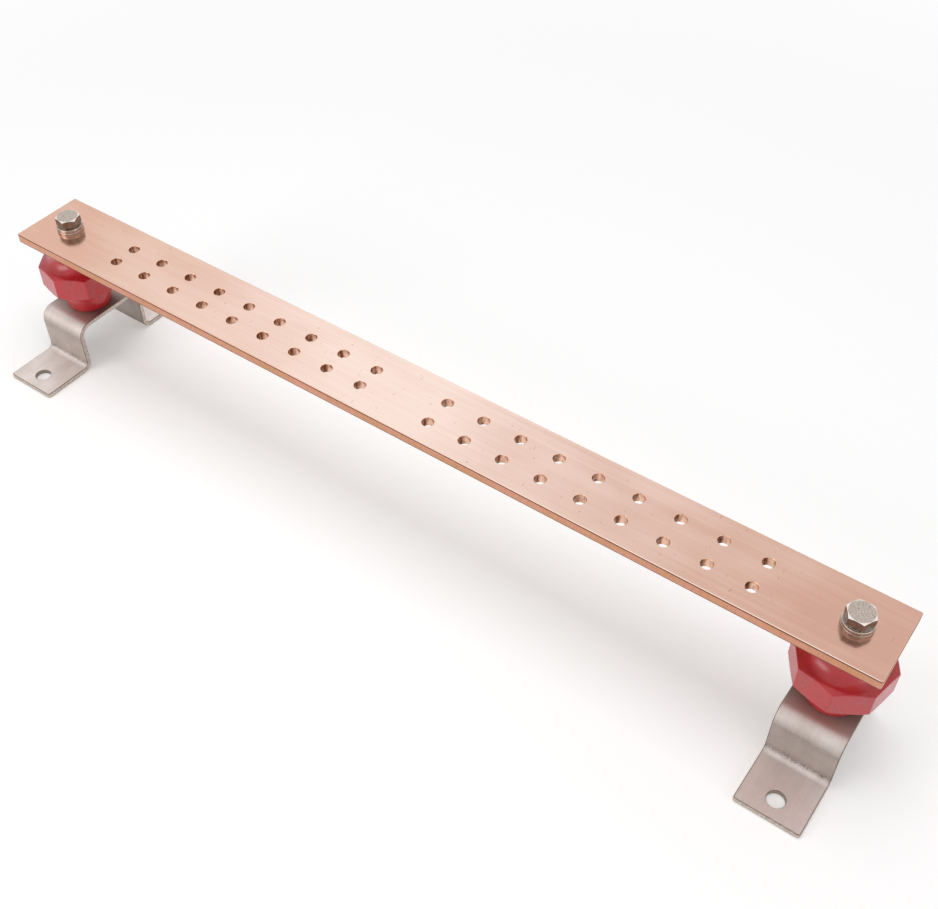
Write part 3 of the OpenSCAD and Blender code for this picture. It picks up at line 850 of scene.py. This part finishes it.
def mark_bends(piece, along, normal_y, ends, from_middle):
    """Stores how much darker each point is drawn in a band: a hump, strength * exp(-(d / width)^2),
    just past the lower end of each top bend and the upper end of each foot bend. Stores painted
    shade too: more the further its face is turned away from level, and most on the plate under
    the insulator as a painted shadow, fading into its bends. The third value is how far a point
    lies from the middle of the strip's thickness, 1 at its faces."""
    hump_width, top_strength, foot_strength = 2.2, 0.5, 1.0
    top_band, foot_band = ends[1] + 1.0, ends[2] + 2.0
    # Painted shade on the legs, and a painted shadow on the plate under the insulator.
    leg_shade, plate_shadow, fade = 0.42, 0.88, 8.0
    s = np.abs(along)
    bend_dark = np.maximum(top_strength * np.exp(-((s - top_band) / hump_width) ** 2),
                     foot_strength * np.exp(-((s - foot_band) / hump_width) ** 2))
    under = np.clip((ends[0] + fade / 2 - s) / fade, 0, 1)
    shade_amount = np.maximum(leg_shade * np.abs(normal_y), plate_shadow * under)
    for name, values in (("bend_darkening", bend_dark), ("painted_shade", shade_amount), ("from_middle", from_middle)):
        layer = piece.data.attributes.new(name, "FLOAT", "POINT")
        layer.data.foreach_set("value", values.astype(np.float32))


# ---- Bolts and washers ----

# How far each head and each lock washer's split happen to be turned, in degrees. The others stand
# at nought.
HEAD_TURNS = {"top_left": 52, "top_right": 1}
SPLIT_TURNS = {"top_left": 150, "top_right": 60}
WASHER_BORE_R = 5.0


def hex_bolt(end, side, material):
    """A hex bolt: a profile carried around its axis. The shank and the washer face are circles,
    the flank is the hexagon's radius at each angle, and the chamfer is a cone of 30 degrees,
    height = top - (radius - face radius) * tan 30, so that its edge rises and falls on the
    flanks."""
    node = f"{end}_bolt_{side}"
    low, high = box_mm(node)
    x, y, _ = (low + high) / 2
    # A 3/8 in bolt with a 9/16 in head.
    shank_r, apothem, head_h, face_h = 9.525 / 2, 14.29 / 2, 6.2, 0.4
    slope, corner_r, tip, soft = math.tan(math.radians(30)), 0.35, 1.2, 0.12
    fillet, face_edge, rim = 0.3, 0.1, 0.3
    face_r = 0.95 * apothem
    length = high[2] - low[2] - head_h
    first_corner = math.radians(HEAD_TURNS.get(f"{end}_{side}", 0))
    angles = polygon_angles(apothem, corner_r, 6, first_corner, corner_steps=5, flat_steps=10)
    hexagon = polygon_radius(angles, apothem, corner_r, 6, first_corner)
    ridge = head_h - (hexagon - face_r) * slope
    rows = [(shank_r - tip, -length), (shank_r, tip - length), (shank_r, -fillet),
            (shank_r + fillet, 0.0), (face_r - face_edge, 0.0), (face_r, face_edge),
            (face_r, face_h), (hexagon - rim, face_h), (hexagon, face_h + rim),
            (hexagon, ridge - soft), (hexagon - soft, ridge + soft * slope),
            (face_r + soft, head_h - soft * slope), (face_r - soft, head_h),
            (face_r / 2, head_h)]
    points, faces = turned([r for r, _ in rows], [h for _, h in rows], angles, (0, 0, 0))
    if end == "top":
        points += [x, y, high[2] - head_h]
    else:
        points = points * [1, 1, -1] + [x, y, low[2] + head_h]
    return make_piece(f"hex_bolt_{end}_{side}", points, faces, [material],
                      replaces=[node])


def lock_washer(end, side, material):
    """The split lock washer under one bolt head, worked out by split_ring."""
    node = f"{end}_lock_washer_{side}"
    low, high = box_mm(node)
    x, y, _ = centre_mm(f"{end}_bolt_{side}")
    turn = math.radians(SPLIT_TURNS.get(f"{end}_{side}", 0))
    points, faces = split_ring(
        WASHER_BORE_R, outer_r=8.65, thick=high[2] - low[2], rise=0.25, gap=0.17,
        slant=math.radians(20), turn=turn, centre=(x, y, (low[2] + high[2]) / 2))
    return make_piece(f"split_washer_{end}_{side}", points, faces, [material],
                      replaces=[node])


def flat_washer(end, side, material):
    """A flat washer: a rectangle with quarter-circle corners carried around the bolt's axis."""
    node = f"{end}_flat_washer_{side}"
    low, high = box_mm(node)
    x, y, z = (low + high) / 2
    outer_r, half_t = (high[0] - low[0]) / 2, (high[2] - low[2]) / 2
    soft = 0.25
    out, down = quarter_round(3)
    outer, inner = outer_r - soft + soft * out, WASHER_BORE_R + soft - soft * out
    upper = half_t - soft * down
    radii = np.concatenate([outer, outer[::-1], inner, inner[::-1]])
    heights = np.concatenate([upper, -upper[::-1], -upper, upper[::-1]])
    points, faces = turned(radii, heights, even_angles(96), (x, y, z), closed=True)
    return make_piece(f"plain_washer_{end}_{side}", points, faces, [material],
                      replaces=[node])


# ---- Build ----

copper_bar(drawn_copper(), sheared_copper(), drilled_copper())
RED, STRIP, STRIP_EDGE = red_polyester(), rolled_strip(), slit_strip()
BOLT, WASHER, BRASS = headed_steel(), coiled_steel(), turned_brass()
for side in SIDES:
    standoff(side, RED)
    strip_bracket(side, STRIP, STRIP_EDGE)
    for end in ENDS:
        hex_bolt(end, side, BOLT)
        lock_washer(end, side, WASHER)
        flat_washer(end, side, WASHER)
        # The inserts hardly show, so their CAD meshes stay and only get their brass.
        insert = frame["nodes"][f"{end}_insert_{side}"]
        insert.data.materials.clear()
        insert.data.materials.append(BRASS)


# ---- Stage, lights and camera ----

OBJECT_MIDDLE = np.mean(CAD_BOX, axis=0)
WHITE = srgb("#FFFFFF")


def looking_rays(tree):
    """One for the rays that see the background or mirror it, and nought for those that light."""
    rays = add(tree, "LightPath").node.outputs
    seen = add(tree, "Math", (rays["Is Camera Ray"], rays["Is Glossy Ray"]), operation="MAXIMUM")
    return add(tree, "Math", (seen, rays["Is Transmission Ray"]), operation="MAXIMUM")


def studio_floor(clear_below=0.0002, half_size=6.0, near=0.4, far=1.0):
    """A plain sheet of white paper on Z = 0, a hair lower so that the feet don't cut into it. Seen
    or mirrored, it gets a little plain white added, and turns wholly white from near to far metres
    away from the middle, so that only the object's shadow shows. From below it is clear."""
    material, tree, place = new_material("white_paper_sweep")
    paper = add(tree, "BsdfDiffuse", {"Color": srgb("#F6F6F6")})
    lift = add(tree, "Emission", {"Color": WHITE, "Strength": 0.22})
    white = add(tree, "Emission", {"Color": WHITE, "Strength": 1.0})
    distance = add(tree, "VectorMath", (place,), output="Value", operation="LENGTH")
    away = add(tree, "MapRange", (distance, near, far, 0.0, 1.0), interpolation_type="SMOOTHSTEP")
    lifted = add(tree, "AddShader", (paper, lift))
    backdrop = add(tree, "MixShader", (away, lifted, white))
    upper = add(tree, "MixShader", (looking_rays(tree), paper, backdrop))
    below = add(tree, "NewGeometry", output="Backfacing")
    clear = add(tree, "BsdfTransparent")
    add(tree, "OutputMaterial", (add(tree, "MixShader", (below, upper, clear)),))
    corners = np.array([[-1, -1, 0], [1, -1, 0], [1, 1, 0], [-1, 1, 0]]) * half_size
    mesh = bpy.data.meshes.new("floor")
    mesh.from_pydata((corners - [0, 0, clear_below]).tolist(), [], [(0, 1, 2, 3)])
    mesh.materials.append(material)
    floor = bpy.data.objects.new("floor", mesh)
    bpy.context.scene.collection.objects.link(floor)


def studio_world(fill):
    """White all round where it is seen or mirrored, and a softer fill light for the rest."""
    world = bpy.data.worlds.new("studio")
    bpy.context.scene.world = world
    world.use_nodes = True
    tree = world.node_tree
    tree.nodes.clear()
    strength = add(tree, "MapRange", (looking_rays(tree), 0.0, 1.0, fill, 1.0))
    background = add(tree, "Background", {"Color": WHITE, "Strength": strength})
    add(tree, "OutputWorld", (background,))


def around(azimuth, elevation):
    """Unit vector towards an azimuth from the front, turning to the right, and an elevation."""
    a, e = math.radians(azimuth), math.radians(elevation)
    return np.array([math.cos(e) * math.sin(a), -math.cos(e) * math.cos(a), math.sin(e)])


def aimed(name, data, place, target):
    """A lamp or camera at a place, looking at a target."""
    obj = bpy.data.objects.new(name, data)
    bpy.context.scene.collection.objects.link(obj)
    obj.location = place
    obj.rotation_euler = Vector(target - place).to_track_quat("-Z", "Y").to_euler()
    return obj


def softbox(name, azimuth, elevation, distance, size, radiance, mirrored=True):
    """A rectangular lamp aimed at the object's middle. Its power comes from how bright its face
    looks: power = radiance * area * pi. Metal doesn't show a lamp that isn't mirrored."""
    data = bpy.data.lights.new(name, "AREA")
    data.shape = "RECTANGLE"
    data.size, data.size_y = size
    data.energy = radiance * size[0] * size[1] * math.pi
    place = OBJECT_MIDDLE + around(azimuth, elevation) * distance
    lamp = aimed(name, data, place, OBJECT_MIDDLE)
    lamp.visible_glossy = mirrored


def studio_camera(target, azimuth, elevation, distance, lens):
    """The camera, with a 36 mm wide frame, at a distance from its target."""
    data = bpy.data.cameras.new("camera")
    data.sensor_width = 36
    data.lens = lens
    data.clip_start = 0.01
    place = target + around(azimuth, elevation) * distance
    bpy.context.scene.camera = aimed("camera", data, place, target)


studio_floor()
studio_world(fill=0.45)
softbox("overhead", azimuth=180, elevation=86, distance=1.5, size=(1.1, 0.9), radiance=2.5,
        mirrored=False)
softbox("far_side", azimuth=212, elevation=48, distance=1.8, size=(2.4, 1.2), radiance=0.12)
softbox("front_left", azimuth=-30, elevation=20, distance=1.5, size=(0.9, 0.7), radiance=3.2)
softbox("front_right", azimuth=82, elevation=18, distance=1.5, size=(0.7, 0.6), radiance=1.6)
studio_camera(np.array([0.033, 0.020, 0.050]), azimuth=35.5, elevation=46, distance=0.757, lens=48)
bpy.context.scene.view_settings.view_transform = "Standard"
